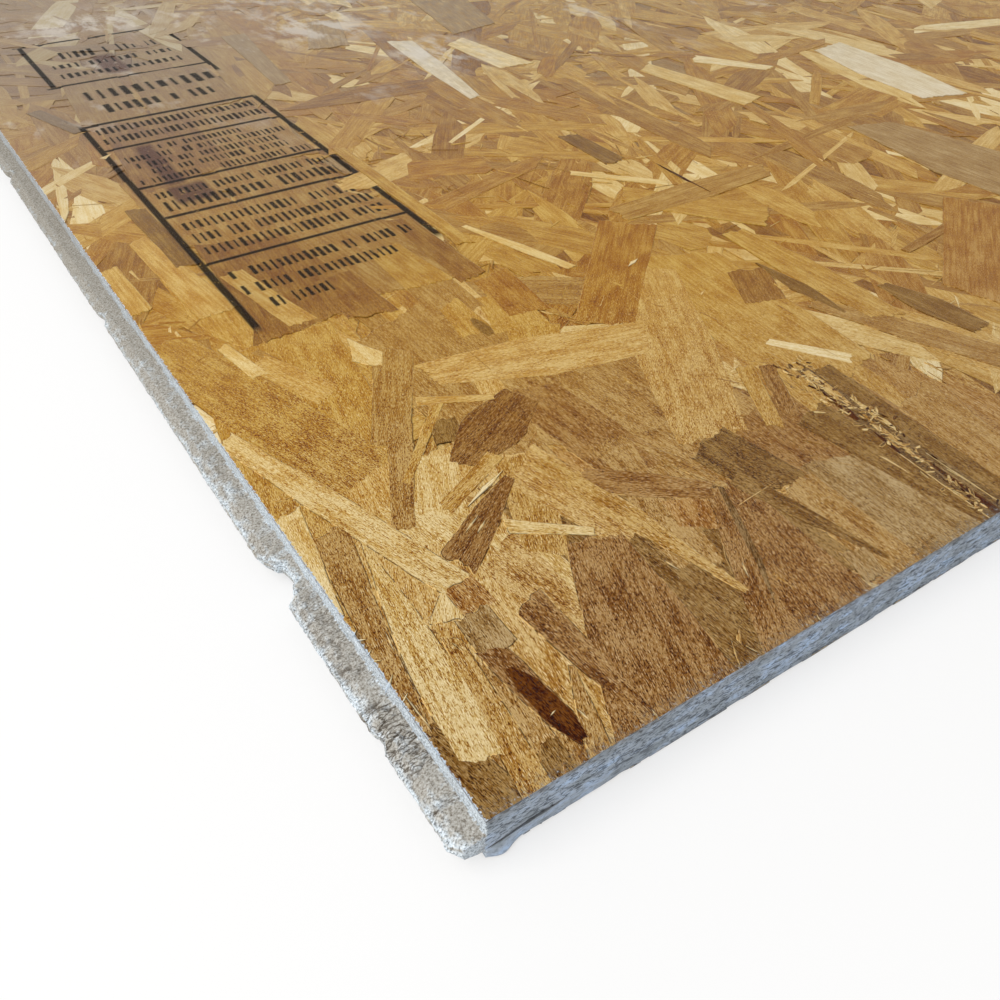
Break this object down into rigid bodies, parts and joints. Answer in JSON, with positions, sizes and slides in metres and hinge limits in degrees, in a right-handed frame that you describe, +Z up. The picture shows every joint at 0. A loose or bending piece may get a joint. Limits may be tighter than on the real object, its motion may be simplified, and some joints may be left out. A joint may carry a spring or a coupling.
{
  "type": "tongue and groove osb board",
  "caption": "Oriented strand board floor panel pressed from wood strands, with a tapered tongue along one long edge, a matching groove along the other, and sealed edges.",
  "frame": {"origin": "on the underside, at the middle of the panel's whole outline, tongue included", "axes": "+X along the length, towards the damaged near end; -Y the way the tongue points; +Y the way the groove opens; +Z up, out of the stamped face"},
  "size_m": [2.435, 1.216, 0.0183],
  "materials": {
    "strand_board": "pressed wood strands, matt, with sealed sawn edges"
  },
  "bodies": {
    "root": {"osb_panel": "strand_board"}
  },
  "joints": []
}
